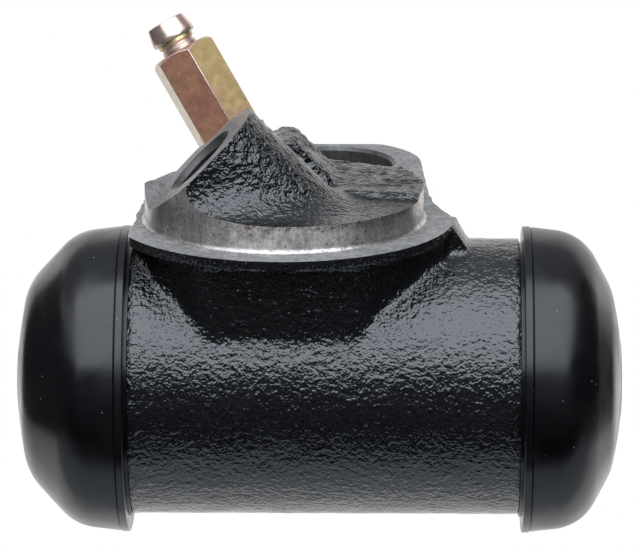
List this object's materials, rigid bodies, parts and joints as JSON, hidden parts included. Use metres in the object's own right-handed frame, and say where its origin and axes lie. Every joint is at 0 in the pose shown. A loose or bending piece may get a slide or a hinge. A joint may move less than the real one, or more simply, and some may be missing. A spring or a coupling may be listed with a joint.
{
  "type": "wheel cylinder",
  "caption": "Hydraulic drum brake wheel cylinder: painted iron body with turned pilot, rear ear, angled inlet port and bleeder screw, sprung pistons under domed rubber boots.",
  "frame": {"origin": "on the axis of the turned pilot, where its straight wall starts, 1.5 mm above the mounting face", "axes": "+Z leaves the mounting face along the pilot's axis, +X runs along the bore towards the end further from the pilot, +Y points to the ear"},
  "size_m": [0.087, 0.0691, 0.0745],
  "materials": {
    "painted_casting": "gloss black paint on rough cast iron, with bare turned faces",
    "yellow_plating": "yellow zinc plating with an iridescent tint",
    "spring_steel": "bright steel",
    "seal_rubber": "smooth black rubber",
    "piston_alloy": "turned aluminium",
    "boot_rubber": "satin black moulded rubber"
  },
  "bodies": {
    "housing": {"body_casting": "painted_casting", "left_boot": "boot_rubber", "right_boot": "boot_rubber", "piston_spring": "spring_steel"},
    "left_piston_group": {"left_piston": "piston_alloy", "left_cup": "seal_rubber", "left_cup_expander": "spring_steel"},
    "right_piston_group": {"right_piston": "piston_alloy", "right_cup": "seal_rubber", "right_cup_expander": "spring_steel"},
    "bleeder": {"bleeder_screw": "yellow_plating"}
  },
  "joints": [
    {"name": "left_piston_slide", "type": "slide", "parent": "housing", "child": "left_piston_group", "axis": [-1, 0, 0], "range_m": [-0.008, 0], "stiffness_N_per_m": 400, "springref_m": 0.008, "deforming": ["piston_spring"]},
    {"name": "right_piston_slide", "type": "slide", "parent": "housing", "child": "right_piston_group", "axis": [1, 0, 0], "range_m": [-0.008, 0], "stiffness_N_per_m": 400, "springref_m": 0.008, "deforming": ["piston_spring"]},
    {"name": "bleeder_turn", "type": "hinge", "parent": "housing", "child": "bleeder", "pos_m": [-0.0081, 0.0067, 0.00925], "axis": [-0.5028, 0.2164, 0.8368], "range_deg": [0, 360]}
  ]
}
